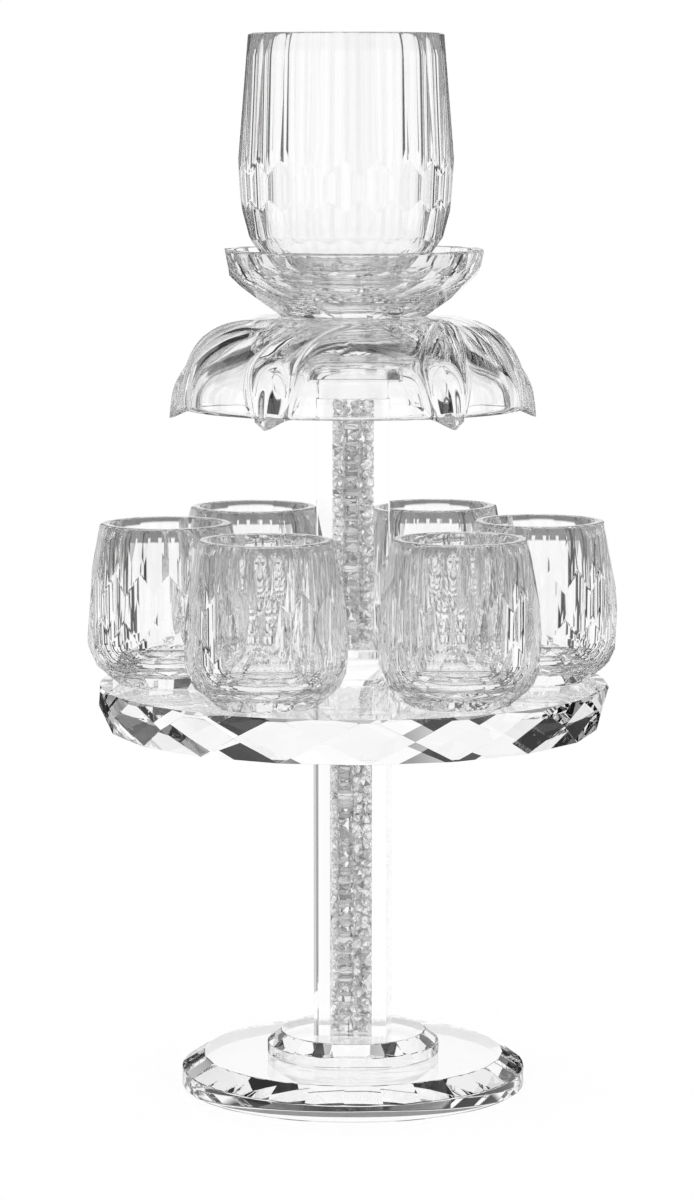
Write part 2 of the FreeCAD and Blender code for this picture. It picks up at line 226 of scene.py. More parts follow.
def clearGlass(name, look):
    # clear all through; a ripple of its surface, waveDepth mm deep, bends what is seen through it
    material = bpy.data.materials.new(name)
    tree = newTree(material)
    place = addNode(tree, "ShaderNodeTexCoord")
    waves = addNode(tree, "ShaderNodeTexNoise", {"Scale": 1 / (look["waveLength"] * mm), "Detail": 1.0},
                    {"Vector": (place, "Object")})
    bump = addNode(tree, "ShaderNodeBump", {"Strength": 1.0, "Distance": look["waveDepth"] * mm},
                   {"Height": (waves, "Fac")})
    glass = addNode(tree, "ShaderNodeBsdfPrincipled",
                    {"Base Color": linearColour(look["colour"]), "Roughness": look["roughness"],
                     "IOR": look["ior"], "Transmission Weight": 1.0}, {"Normal": (bump, "Normal")})
    addNode(tree, "ShaderNodeOutputMaterial", links={"Surface": (glass, "BSDF")})
    return material


# lead-free crystal, ground and polished: no ripple, so that each flat is a sharp little window
polishedCrystal = clearGlass("polishedLeadFreeCrystal", {"colour": "#FFFFFF", "roughness": 0.0, "ior": 1.53,
                                                         "waveLength": 30.0, "waveDepth": 0.0})
# soda-lime glass, pressed and fire-polished: a faint ripple makes its lights and darks run like water
pressedGlass = clearGlass("pressedGlass", {"colour": "#FFFFFF", "roughness": 0.0, "ior": 1.52,
                                           "waveLength": 8.0, "waveDepth": 0.03})


def packedCrystal():
    # crushed crystal: each stone is clear, but packed together they scatter the light like coarse sugar; here
    # the stones are opaque, and each facet's grey or white is painted light standing in for that scattering,
    # and an IOR above that of crystal gives it more glint
    material = bpy.data.materials.new("crushedCrystal")
    tree = newTree(material)
    paintedFacetLight = addNode(tree, "ShaderNodeAttribute", {"attribute_name": "stonePaintedLight"})
    # painted light: facets run from dark grey #383838 (painted shade) to white #FFFFFF (a painted lit facet)
    colour = addNode(tree, "ShaderNodeMix",
                     {"data_type": "RGBA", 6: linearColour("#383838"), 7: linearColour("#FFFFFF")},
                     {0: (paintedFacetLight, "Fac")})
    stone = addNode(tree, "ShaderNodeBsdfPrincipled", {"Roughness": 0.05, "IOR": 2.0},
                    {"Base Color": (colour, 2)})
    addNode(tree, "ShaderNodeOutputMaterial", links={"Surface": (stone, "BSDF")})
    return material


crushedCrystal = packedCrystal()


# base and plinth discs

discs = {
    "baseDisc": {"node": "base_disc", "radius": 64.0, "edgeHeight": 6.3, "bevelRun": 8.4},
    "plinthDisc": {"node": "plinth_disc", "radius": 32.0, "edgeHeight": 4.0, "bevelRun": 5.2},
}
discCut = {"bevels": 28, "segments": 140, "edgeRound": 0.25, "ringFromEnd": 0.375}


def bevelledDisc(shape):
    low, high = bottomOf(shape["node"]), topOf(shape["node"])
    shoulder = low + shape["edgeHeight"]
    bm = bmesh.new()
    blankCylinder(bm, shape["radius"], low, high, discCut["segments"])
    cutRing(bm, discCut["bevels"], 0, shape["radius"], shoulder, -shape["bevelRun"] / (high - shoulder))
    roundEdges(bm, sharpEdges(bm), discCut["edgeRound"])
    smoothWalls(bm, low + discCut["ringFromEnd"], shoulder - discCut["ringFromEnd"])
    return bm


for name, shape in discs.items():
    addPiece(name, bevelledDisc(shape), "stand", shape["node"], polishedCrystal)
print("discs done")


# columns: square tubes, round rods, clear blocks and crushed crystal

column = {
    "side": 27.0, "wall": 5.7, "cornerRound": 0.5, "gap": 0.2, "rodRadius": 3.1, "rodSegments": 48,
    "blockChamfer": 0.8, "blockEdgeRound": 0.25, "plugEdgeRound": 0.1,
    "lowerTurn": -8.1, "upperTurn": -3.4, "lowerRod": -2.2, "upperRod": -0.8,
}
# paleness skews each facet's painted light level towards white; edge is the width of the painted-shade
# outline round each facet
stones = {
    "size": 3.5, "radius": 0.57, "smallest": 0.85, "largest": 1.15, "uneven": 0.22, "jitter": 0.25,
    "rodRoom": 0.2, "edge": 0.1, "leastFacet": 0.4, "paleness": 0.36, "seed": 7,
}


def squareBar(side, low, high, turn):
    bm = bmesh.new()
    bmesh.ops.create_cube(bm, size=1)
    bmesh.ops.scale(bm, vec=(side, side, high - low), verts=bm.verts)
    bmesh.ops.translate(bm, vec=(0, 0, (low + high) / 2), verts=bm.verts)
    bmesh.ops.rotate(bm, matrix=Matrix.Rotation(math.radians(turn), 3, "Z"), verts=bm.verts)
    return bm


def squareTube(node, turn):
    bm = squareBar(column["side"], bottomOf(node), topOf(node), turn)
    ends = [face for face in bm.faces if abs(face.normal.z) > 1 - hair]
    for end in ends:
        bmesh.ops.inset_region(bm, faces=[end], thickness=column["wall"], use_even_offset=True)
    bmesh.ops.delete(bm, geom=ends, context="FACES_ONLY")
    bmesh.ops.bridge_loops(bm, edges=[edge for edge in bm.edges if edge.is_boundary])
    half = column["side"] / 2
    outer = [edge for edge in uprightEdges(bm) if edge.verts[0].co.xy.length > half]
    roundEdges(bm, outer, column["cornerRound"], 3)
    return bm


def clearBlock(node, turn):
    bm = squareBar(column["side"], bottomOf(node), topOf(node), turn)
    roundEdges(bm, uprightEdges(bm), column["blockChamfer"], 1)
    roundEdges(bm, sharpEdges(bm, 60), column["blockEdgeRound"])
    return bm


def columnPlug(node, turn):
    bm = squareBar(column["side"] - 2 * column["wall"], bottomOf(node), topOf(node), turn)
    roundEdges(bm, uprightEdges(bm), column["plugEdgeRound"])
    return bm


def glassRod(node, turn, offset):
    # stands against the front wall of its tube
    half = column["side"] / 2 - column["wall"]
    middle = Vector((offset, column["gap"] + column["rodRadius"] - half, 0))
    middle.rotate(Matrix.Rotation(math.radians(turn), 3, "Z"))
    bm = bmesh.new()
    blankCylinder(bm, column["rodRadius"], bottomOf(node), topOf(node), column["rodSegments"])
    smoothWalls(bm, bottomOf(node) + column["gap"], topOf(node) - column["gap"])
    bmesh.ops.translate(bm, vec=middle, verts=bm.verts)
    return bm


def angularStone(bm, middle, paintedFacetLight, chance):
    # a rough ball of 20 facets, each with a painted light level from grey to white; dict.fromkeys keeps
    # their order, so that each facet has the same level every time
    size = stones["size"] * stones["radius"] * chance.uniform(stones["smallest"], stones["largest"])
    turned = Matrix.Rotation(chance.uniform(0, fullTurn), 4, Vector([chance.gauss(0, 1) for _ in "xyz"]))
    made = bmesh.ops.create_icosphere(bm, subdivisions=1, radius=size,
                                      matrix=Matrix.Translation(middle) @ turned)
    for face in dict.fromkeys(face for vert in made["verts"] for face in vert.link_faces):
        face[paintedFacetLight] = chance.random() ** stones["paleness"]
    for vert in made["verts"]:
        vert.co += Vector([chance.uniform(-stones["uneven"], stones["uneven"]) * size for _ in "xyz"])
    return made["verts"]


def crystalFill(node, turn, rodOffset, chance):
    # one angular stone to a cell; stones that meet a wall or the rod are ground flat against it
    half = column["side"] / 2 - column["wall"] - column["gap"]
    rodRoom = column["rodRadius"] + column["gap"]
    rodMiddle = Vector((rodOffset, rodRoom - column["side"] / 2 + column["wall"], 0))
    low, high = bottomOf(node), topOf(node)
    across = round(2 * half / stones["size"])
    layers = round((high - low) / stones["size"])
    cell = Vector((2 * half / across, 2 * half / across, (high - low) / layers))
    bm = bmesh.new()
    paintedFacetLight = bm.faces.layers.float.new("stonePaintedLight")
    for layer, row, line in itertools.product(range(layers), range(across), range(across)):
        middle = Vector((-half + (line + 0.5) * cell.x, -half + (row + 0.5) * cell.y,
                         low + (layer + 0.5) * cell.z))
        middle += Vector([chance.uniform(-stones["jitter"], stones["jitter"]) * size for size in cell])
        if (middle - rodMiddle).xy.length < rodRoom + stones["rodRoom"] * cell.x:
            continue
        for vert in angularStone(bm, middle, paintedFacetLight, chance):
            away = (vert.co - rodMiddle) * Vector((1, 1, 0))
            if away.length < rodRoom:
                vert.co += away * (rodRoom / away.length - 1)
            vert.co = Vector((max(-half, min(half, vert.co.x)), max(-half, min(half, vert.co.y)),
                              max(low, min(high, vert.co.z))))
    # painted shade: every facet gets a narrow black outline, standing in for the dark lines seen between the
    # packed stones' facets
    facets = [face for face in bm.faces if face.calc_area() > stones["leastFacet"]]
    for face in bmesh.ops.inset_individual(bm, faces=facets, thickness=stones["edge"])["faces"]:
        face[paintedFacetLight] = 0.0
    bmesh.ops.rotate(bm, matrix=Matrix.Rotation(math.radians(turn), 3, "Z"), verts=bm.verts)
    return bm


chance = random.Random(stones["seed"])
for level in ("lower", "upper"):
    turn, rodOffset = column[level + "Turn"], column[level + "Rod"]
    tube, rod, fill = level + "_column_tube", level + "_core_rod", level + "_crystals"
    addPiece(level + "ColumnTube", squareTube(tube, turn), "stand", tube, polishedCrystal)
    addPiece(level + "GlassRod", glassRod(rod, turn, rodOffset), "stand", rod, polishedCrystal)
    stonesHere = crystalFill(fill, turn, rodOffset, chance)
    addPiece(level + "CrushedCrystal", stonesHere, "stand", fill, crushedCrystal)
for name, node in (("footBlock", "foot_block"), ("neckBlock", "neck_block")):
    addPiece(name, clearBlock(node, column["upperTurn"]), "stand", node, polishedCrystal)
plug = columnPlug("upper_column_plug", column["upperTurn"])
addPiece("upperColumnPlug", plug, "stand", "upper_column_plug", polishedCrystal)
print("columns done")


# tray: its edge is cut into diamonds, with small triangles between them

tray = {"footRadius": 90.5, "diamonds": 18, "diamondLean": 0.27, "cornerHeight": 8.4, "upperLean": -0.06,
        "topChamfer": 1.0, "chamferFlats": 4, "edgeRound": 0.25}


def diamondTray():
    low, high = bottomOf("tray"), topOf("tray")
    count, foot = tray["diamonds"], tray["footRadius"]
    lean, corner = tray["diamondLean"], tray["cornerHeight"]
    halfStep = 180 / count
    squeeze = math.cos(math.radians(halfStep))
    cornerRadius = (foot + lean * corner) / squeeze
    bm = bmesh.new()
    blankCylinder(bm, blankRoom * foot, low, high, 2 * count)
    cutRing(bm, count, frontLeft + halfStep, foot, low, lean)
    cutRing(bm, count, frontLeft, cornerRadius, low + corner, (cornerRadius - foot * squeeze) / corner)
    cutRing(bm, count, frontLeft, cornerRadius, low + corner, tray["upperLean"])
    rim = high - tray["topChamfer"]
    cutRing(bm, tray["chamferFlats"] * count, frontLeft, foot + lean * (rim - low), rim, -1)
    roundEdges(bm, sharpEdges(bm), tray["edgeRound"])
    return bm


addPiece("cutTray", diamondTray(), "stand", "tray", polishedCrystal)
print("tray done")


# drinking cups and goblet; rows are the (radius, level) steps of the outline

smallCup = {
    "flats": 16, "rows": [(17.6, 0.0), (25.6, 6.8), (28.5, 13.4), (28.9, 22.0), (27.6, 39.6), (23.8, 59.6)],
    "mouth": 20.5, "floorRadius": 18.6, "floorCorner": 7.0, "floorLevel": 9.0,
    "edgeRound": 0.3, "rimChamfer": 0.5, "ring": 69.0, "turnStep": 7.0,
}
goblet = {
    "flats": 20, "rows": [(17.0, 0.0), (27.6, 11.6), (34.8, 21.2), (38.2, 34.0), (39.2, 47.6), (35.3, 95.9)],
    "mouth": 32.3, "floorRadius": 31.4, "floorCorner": 20.0, "floorLevel": 7.5,
    "edgeRound": 0.3, "rimChamfer": 0.5, "turn": 4.5, "shift": -2.6,
}
bore = {"segments": 120, "cornerSteps": 10, "wallSteps": 8, "lipSteps": 3}


def drinkingCup(shape):
    rows = shape["rows"]
    height = rows[-1][1]
    bm = bmesh.new()
    blankCylinder(bm, cupBlankRoom * max(radius for radius, level in rows), 0, height, 2 * shape["flats"])
    cutRows(bm, rows, shape["flats"])
    outerRim = openTop(bm, height, shape["edgeRound"])
    corner, lip = shape["floorCorner"], shape["rimChamfer"]
    flatRadius, floor = shape["floorRadius"] - corner, shape["floorLevel"]
    profile = [(0.0, floor), (flatRadius / 2, floor)]
    profile += arcPoints((flatRadius, floor + corner), corner, -90, 0, bore["cornerSteps"])
    start, end = profile[-1], (shape["mouth"], height - lip)
    for number in range(1, bore["wallSteps"]):
        share = number / bore["wallSteps"]
        profile.append((start[0] + (end[0] - start[0]) * share, start[1] + (end[1] - start[1]) * share))
    profile += [end, (shape["mouth"] + lip, height)]
    innerRim = openLoop(spinProfile(bm, profile, bore["segments"]))
    bmesh.ops.bridge_loops(bm, edges=outerRim + innerRim)
    roundEdges(bm, [edge for edge in outerRim if edge.is_valid], lip, 1)
    return bm


for number in range(cupCount):
    angle = frontLeft + pitch * number
    node = "cup_%d" % (number + 1)
    place = Matrix.Translation(outwardAt(angle) * smallCup["ring"] + Vector((0, 0, bottomOf(node))))
    place = place @ Matrix.Rotation(math.radians(angle + smallCup["turnStep"] * number), 4, "Z")
    addPiece("drinkingCup%d" % (number + 1), drinkingCup(smallCup), node, node, polishedCrystal, place)
place = Matrix.Translation((goblet["shift"], 0, bottomOf("goblet")))
place = place @ Matrix.Rotation(math.radians(goblet["turn"]), 4, "Z")
addPiece("wineGoblet", drinkingCup(goblet), "goblet", "goblet", polishedCrystal, place)
print("cups done")


# drain bowl: flats in three rows with triangles between them, a round hollow and six slanting drain holes

bowl = {
    "flats": 16, "foot": 26.4, "lowBreak": (38.0, 8.3), "triangleBase": (44.5, 14.6), "tip": 18.0,
    "rim": 47.3, "rimLean": 0.2, "wall": 3.6, "floorThickness": 6.6, "floorRadius": 21.0,
    "cornerInset": 4.3, "edgeRound": 0.3, "rimRound": 0.6, "weld": 0.01,
    "holeRadius": 1.5, "holeSegments": 24, "holeInset": 1.0, "holeDrop": 24.0,
}


def bowlProfile(low, high):
    # the hollow, from the middle of the floor to the rounded rim
    lowRadius = bowl["lowBreak"][0]
    baseRadius, baseLevel = bowl["triangleBase"]
    floor = low - seatGap + bowl["floorThickness"]  # the goblet above it keeps its own gap of air
    shoulder = (baseRadius - bowl["wall"], low + baseLevel + bowl["wall"] / 2)
    sweep = [(bowl["floorRadius"], floor), (lowRadius - bowl["cornerInset"], floor + bowl["wall"]), shoulder]
    profile = [(0.0, floor), (0.5 * bowl["floorRadius"], floor)] + arcThrough(sweep, bore["cornerSteps"])
    mouth, lip = bowl["rim"] - bowl["wall"], bowl["rimRound"]
    profile.append(((shoulder[0] + mouth) / 2, (shoulder[1] + high - lip) / 2))
    return profile + arcPoints((mouth + lip, high - lip), lip, 180, 90, bore["lipSteps"])


def drainBowl():
    low, high = bottomOf("drain_bowl"), topOf("drain_bowl")
    count = bowl["flats"]
    half = 180 / count
    lowRadius, lowLevel = bowl["lowBreak"]
    baseRadius, baseLevel = bowl["triangleBase"]
    tipRadius = (bowl["rim"] - bowl["rimLean"] * (high - low - bowl["tip"])) / math.cos(math.radians(half))
    triangleLean = (tipRadius - baseRadius) / (bowl["tip"] - baseLevel)
    sideLean = (baseRadius - lowRadius) / (baseLevel - lowLevel)
    bm = bmesh.new()
    blankCylinder(bm, blankRoom * bowl["rim"], low, high, 2 * count)
    cutRing(bm, count, 0, bowl["rim"], high, bowl["rimLean"])
    cutRing(bm, count, half, baseRadius, low + baseLevel, triangleLean)
    cutRing(bm, count, half, baseRadius, low + baseLevel, sideLean)
    cutRing(bm, count, 0, bowl["foot"], low, (lowRadius - bowl["foot"]) / lowLevel)
    outerRim = openTop(bm, high, bowl["edgeRound"])
    hollow = spinProfile(bm, bowlProfile(low, high), bore["segments"])
    bmesh.ops.bridge_loops(bm, edges=outerRim + openLoop(hollow))
    roundEdges(bm, [edge for edge in outerRim if edge.is_valid], bowl["rimRound"], bore["lipSteps"])
    bmesh.ops.remove_doubles(bm, verts=bm.verts, dist=bowl["weld"])
    bmesh.ops.dissolve_degenerate(bm, edges=bm.edges, dist=bowl["weld"])
    return bm


def holeDrills():
    # in metres, as the finished bowl is; each starts above the bowl's floor and slants down and outwards
    drills = bmesh.new()
    level = bottomOf("drain_bowl") + bowl["floorThickness"] + bowl["holeRadius"]
    length = bowl["foot"]
    for number in range(cupCount):
        outward = outwardAt(frontLeft + pitch * number)
        start = outward * (bowl["floorRadius"] - bowl["holeInset"]) + Vector((0, 0, level))
        slant = outward - Vector((0, 0, math.tan(math.radians(bowl["holeDrop"]))))
        turned = slant.to_track_quat("Z", "Y").to_matrix().to_4x4()
        place = Matrix.Scale(mm, 4) @ Matrix.Translation(start + slant.normalized() * length / 2) @ turned
        bmesh.ops.create_cone(drills, cap_ends=True, segments=bowl["holeSegments"], depth=length,
                              radius1=bowl["holeRadius"], radius2=bowl["holeRadius"], matrix=place)
    return drills


def drillHoles(piece, drills):
    # takes the drills out of the piece with a Boolean, and keeps the result as its mesh
    cutter = bpy.data.objects.new("drills", bpy.data.meshes.new("drills"))
    drills.to_mesh(cutter.data)
    drills.free()
    bpy.context.scene.collection.objects.link(cutter)
    cut = piece.modifiers.new("holes", "BOOLEAN")
    cut.object, cut.operation, cut.solver = cutter, "DIFFERENCE", "EXACT"
    view = bpy.context.evaluated_depsgraph_get()
    mesh = bpy.data.meshes.new_from_object(piece.evaluated_get(view))
    piece.modifiers.clear()
    piece.data = mesh
    bpy.data.objects.remove(cutter)


drillHoles(addPiece("drainBowl", drainBowl(), "stand", "drain_bowl", polishedCrystal), holeDrills())
print("bowl done")


# spout dome: a turned dome whose columns of points are then moved into six swirled gutters with drip lips

dome = {
    "height": 33.8, "hem": 62.5, "crown": 26.8, "roundness": 2.55, "wall": 4.6, "crownThickness": 7.2,
    "boss": 18.5, "bossDrop": 17.3, "bossRing": 0.3, "turn": -1.0, "axisDistance": 31.9, "bend": 59.6,
    "gutterNarrow": 4.9, "gutterSwell": 3.8, "gutterEnd": 38.5, "endLength": 5.5, "endShare": 0.12,
    "ridge": 1.5, "ridgeFall": 1.4, "trough": 0.5, "troughPower": 2.5, "betweenShare": 0.3,
    "lipDrop": 3.7, "lipReach": 5.5, "lipHalf": 7.2, "lipPower": 1.5, "lipFrom": 19.0, "lipFromPower": 1.6,
    "lipDropFrom": 8.0, "lipInnerShare": 0.1,
    "outsideSteps": 44, "hollowSteps": 24, "hemSteps": 4, "crownSteps": 5,
    "columnsPerGutter": 72, "crestColumn": 17,
}


def domeRadius(level, hem, crown, height):
    share = min(1.0, max(0.0, level / height))
    return crown + (hem - crown) * (1 - share ** dome["roundness"]) ** (1 / dome["roundness"])


def domeCurve(hem, crown, height, hemLevel, steps):
    # from the hem up to the crown, with the points closer together towards the top
    points = []
    for number in range(steps + 1):
        level = height * math.sin(math.pi / 2 * number / steps)
        points.append((domeRadius(level, hem, crown, height), hemLevel + level))
    return points


def domeProfile():
    # from the middle of the top, down the outside, round the hem and up the hollow to the boss
    top, height = topOf("spout_dome"), dome["height"]
    hemLevel = top - height
    outside = domeCurve(dome["hem"], dome["crown"], height, hemLevel, dome["outsideSteps"])
    inside = domeCurve(dome["hem"] - dome["wall"], dome["boss"], height - dome["crownThickness"], hemLevel,
                       dome["hollowSteps"])
    hem = [(dome["hem"] - dome["wall"] * number / dome["hemSteps"], hemLevel)
           for number in range(1, dome["hemSteps"])]
    crown = [(dome["crown"] * number / dome["crownSteps"], top) for number in range(dome["crownSteps"])]
    foot, near = top - dome["bossDrop"] + seatGap, dome["bossRing"]
    boss = [(dome["boss"], inside[-1][1] - near), (dome["boss"], foot + near), (dome["boss"], foot),
            (dome["boss"] - near, foot), (0.0, foot)]
    return crown + outside[::-1] + hem + inside + boss


def ease(share):
    share = min(1.0, max(0.0, share))
    return share * share * (3 - 2 * share)


def gutterTurn(radius):
    # how far round a gutter has come: it runs straight in plan inside the bend, past the axis at a distance
    distance, bend = dome["axisDistance"], dome["bend"]
    inside = min(bend, max(radius, 1.05 * distance))  # a little more than the distance, for a safe arc cosine
    return math.degrees(math.acos(distance / bend) - math.acos(distance / inside))


def gutterHalf(outer, rise):
    # half the gutter's width, which swells half way up and closes in a round end beside the crown
    closing = min(1.0, max(0.0, (dome["gutterEnd"] + dome["endLength"] - outer) / dome["endLength"]))
    half = dome["gutterNarrow"] + dome["gutterSwell"] * math.sin(math.pi * min(1.0, rise))
    return half * max(dome["endShare"], math.sqrt(1 - closing ** 2))


def gutterLift(offset, half, beyond):
    # the skin sinks into the trough between two ridges, and falls off gently outside them
    if offset <= half and beyond == 0:
        return dome["ridge"] - (dome["ridge"] + dome["trough"]) * (1 - (offset / half) ** dome["troughPower"])
    return dome["ridge"] * math.exp(-(max(0.0, offset - half) + beyond) / dome["ridgeFall"])


def columnTurn(turn, halfTurn):
    # moves a column of points round, so that the crest column follows the ridge and the rest share the space
    crest = dome["crestColumn"] * pitch / dome["columnsPerGutter"]
    side = abs(turn)
    if side <= crest:
        moved = halfTurn * side / crest
    else:
        share = (side - crest) / (pitch / 2 - crest)
        even = dome["betweenShare"]
        moved = halfTurn + (pitch / 2 - halfTurn) * share * (even + (1 - even) * share)
    return math.copysign(moved, turn)


def shapeDome(bm, hemLevel, top):
    for vert in bm.verts:
        radius = vert.co.xy.length
        if radius < hair:
            continue
        level = vert.co.z - hemLevel
        rise = level / dome["height"]
        angle = math.degrees(math.atan2(vert.co.y, vert.co.x))
        turn = (angle - frontLeft + pitch / 2) % pitch - pitch / 2
        gutterNumber = round((angle - frontLeft - turn) / pitch)
        outer = domeRadius(level, dome["hem"], dome["crown"], dome["height"])
        skin = ease(1 - (outer - radius) / dome["wall"]) if radius > dome["crown"] else 0.0
        half = gutterHalf(outer, rise)
        newTurn = columnTurn(turn, math.degrees(half / max(outer, dome["gutterEnd"])))
        offset = math.radians(abs(newTurn)) * outer
        lift = gutterLift(offset, half, max(0.0, dome["gutterEnd"] - outer))
        # the drip lip: a pointed tongue that reaches out and hangs below the hem
        across = max(0.0, 1 - (offset / dome["lipHalf"]) ** dome["lipPower"]) ** dome["lipPower"]
        climb = max(0.0, level) / dome["lipFrom"]
        reach = dome["lipReach"] * across * skin * max(0.0, 1 - climb ** dome["lipFromPower"])
        hang = dome["lipInnerShare"] + (1 - dome["lipInnerShare"]) * skin
        drop = dome["lipDrop"] * across * hang * ease(1 - level / dome["lipDropFrom"])
        newAngle = frontLeft + dome["turn"] + pitch * gutterNumber + newTurn + gutterTurn(outer)
        vert.co = outwardAt(newAngle) * (radius + lift * skin + reach) + Vector((0, 0, vert.co.z - drop))
        if rise > 1 - touch:
            vert.co.z = top


def spoutDome():
    top = topOf("spout_dome")
    bm = bmesh.new()
    spinProfile(bm, domeProfile(), cupCount * dome["columnsPerGutter"])
    shapeDome(bm, top - dome["height"], top)
    return bm


addPiece("spoutDome", spoutDome(), "stand", "spout_dome", pressedGlass)
print("dome done")


# studio: sizes in millimetres, half widths of cards in degrees, and heights of the sky from -1 to 1
# a level is the strength of the light: 1 is white, and 0.03 is a black card

studio = {
    "floorRadius": 160.0, "floorGap": 0.3, "shadowShare": 0.3,
    "underBase": 64.0, "bandRadius": 86.5, "bandHalf": 5.0, "underBaseLevel": 0.06, "discDepth": 2.5,
    "turn": -3.4, "cardSoft": 0.15, "cardLevel": 0.03, "cards": 8, "cardHalfWidth": 6.5,
    "highCards": 4, "highCardHalfWidth": 14.0, "highFrom": -0.075, "highSoft": 0.01,
    "pitFrom": -0.38, "pitTo": -0.80, "pitSoft": 0.03, "pitLevel": 0.2,
    "mirrorCards": 12, "mirrorHalfWidth": 5.0, "mirrorPit": -0.42, "mirrorPitLevel": 0.3,
    "ringLow": 0.42, "ringHigh": 0.80, "ringSoft": 0.04,
}
cameraSpot = {"distance": 1.48, "turn": -3.4, "eye": 0.36685, "aimLevel": 0.18185, "aimAside": -0.00227,
              "lens": 120.9, "sensor": 36.0}


def whiteTable():
    # white to the eye, with a share of plain paper round the base that keeps the object's shadow;
    # light that the base has thrown back meets a dark disc under it and a dark band round it
    material = bpy.data.materials.new("whiteTable")
    tree = newTree(material)
    place = addNode(tree, "ShaderNodeTexCoord")
    reach = addNode(tree, "ShaderNodeVectorMath", {"operation": "LENGTH"}, {0: (place, "Object")})
    fade = addNode(tree, "ShaderNodeMapRange",
                   {"From Min": studio["underBase"] * mm, "From Max": studio["floorRadius"] * mm,
                    "To Min": 1 - studio["shadowShare"], "To Max": 1.0}, {"Value": (reach, "Value")})
    rays = addNode(tree, "ShaderNodeLightPath")
    seen = addNode(tree, "ShaderNodeMath", {"operation": "MAXIMUM"},
                   {0: (rays, "Is Camera Ray"), 1: (rays, "Is Glossy Ray")})
    seen = addNode(tree, "ShaderNodeMath", {"operation": "MAXIMUM"},
                   {0: (seen, 0), 1: (rays, "Is Transmission Ray")})
    under = addNode(tree, "ShaderNodeMath", {"operation": "LESS_THAN", 1: studio["underBase"] * mm},
                    {0: (reach, "Value")})
    band = addNode(tree, "ShaderNodeMath",
                   {"operation": "COMPARE", 1: studio["bandRadius"] * mm, 2: studio["bandHalf"] * mm},
                   {0: (reach, "Value")})
    patch = addNode(tree, "ShaderNodeMath", {"operation": "MAXIMUM"}, {0: (under, 0), 1: (band, 0)})
    # the dark is only for light that was thrown back and has crossed no more than one piece of glass
    thrown = addNode(tree, "ShaderNodeMath", {"operation": "MINIMUM", 1: 1.0}, {0: (rays, "Glossy Depth")})
    near = addNode(tree, "ShaderNodeMath", {"operation": "LESS_THAN", 1: studio["discDepth"]},
                   {0: (rays, "Transmission Depth")})
    dark = addNode(tree, "ShaderNodeMath", {"operation": "MULTIPLY"}, {0: (patch, 0), 1: (thrown, 0)})
    dark = addNode(tree, "ShaderNodeMath", {"operation": "MULTIPLY"}, {0: (dark, 0), 1: (near, 0)})
    level = addNode(tree, "ShaderNodeMapRange", {"To Min": 1.0, "To Max": studio["underBaseLevel"]},
                    {"Value": (dark, 0)})
    share = addNode(tree, "ShaderNodeMath", {"operation": "MAXIMUM"}, {0: (fade, "Result"), 1: (under, 0)})
    share = addNode(tree, "ShaderNodeMath", {"operation": "MULTIPLY"}, {0: (seen, 0), 1: (share, 0)})
    paper = addNode(tree, "ShaderNodeBsdfDiffuse", {"Color": linearColour("#FFFFFF")})
    white = addNode(tree, "ShaderNodeEmission", {"Color": linearColour("#FFFFFF")}, {"Strength": (level, 0)})
    both = addNode(tree, "ShaderNodeMixShader",
                   links={"Fac": (share, 0), 1: (paper, "BSDF"), 2: (white, "Emission")})
    addNode(tree, "ShaderNodeOutputMaterial", links={"Surface": (both, "Shader")})
    return material


def studioFloor():
    bm = bmesh.new()
    bmesh.ops.create_circle(bm, cap_ends=True, segments=96, radius=studio["floorRadius"] * mm)
    bmesh.ops.translate(bm, vec=(0, 0, -studio["floorGap"] * mm), verts=bm.verts)
    mesh = bpy.data.meshes.new("studioFloor")
    bm.to_mesh(mesh)
    bm.free()
    mesh.materials.append(whiteTable())
    floor = bpy.data.objects.new("studioFloor", mesh)
    bpy.context.scene.collection.objects.link(floor)


def cardRing(tree, angle, count, halfWidth):
    # 0 on each of the cards that stand evenly round the object, 1 between them
    wave = addNode(tree, "ShaderNodeMath", {"operation": "MULTIPLY", 1: count}, {0: (angle, 0)})
    wave = addNode(tree, "ShaderNodeMath", {"operation": "COSINE"}, {0: (wave, 0)})
    edge, soft = -math.cos(math.radians(count * halfWidth)), studio["cardSoft"]
    return addNode(tree, "ShaderNodeMapRange", {"From Min": edge - soft, "From Max": edge + soft},
                   {"Value": (wave, 0)})


def seenThrough(tree, angle, sky):
    # straight through the glass: narrow cards low down, wide ones above them, and a grey ring far below
    low = cardRing(tree, angle, studio["cards"], studio["cardHalfWidth"])
    high = cardRing(tree, angle, studio["highCards"], studio["highCardHalfWidth"])
    isHigh = addNode(tree, "ShaderNodeMapRange", {"From Min": studio["highFrom"] - studio["highSoft"],
                                                  "From Max": studio["highFrom"] + studio["highSoft"]},
                     {"Value": (sky, "Z")})
    cards = addNode(tree, "ShaderNodeMix", {"data_type": "FLOAT"},
                    {0: (isHigh, 0), 2: (low, 0), 3: (high, 0)})
    abovePit = addNode(tree, "ShaderNodeMapRange", {"From Min": studio["pitFrom"] - studio["pitSoft"],
                                                    "From Max": studio["pitFrom"]}, {"Value": (sky, "Z")})
    belowPit = addNode(tree, "ShaderNodeMapRange", {"From Min": studio["pitTo"],
                                                    "From Max": studio["pitTo"] - studio["pitSoft"]},
                       {"Value": (sky, "Z")})
    pit = addNode(tree, "ShaderNodeMath", {"operation": "ADD"}, {0: (abovePit, 0), 1: (belowPit, 0)})
    pit = addNode(tree, "ShaderNodeMapRange", {"To Min": studio["pitLevel"]}, {"Value": (pit, 0)})
    return addNode(tree, "ShaderNodeMath", {"operation": "MULTIPLY"}, {0: (cards, 0), 1: (pit, 0)})


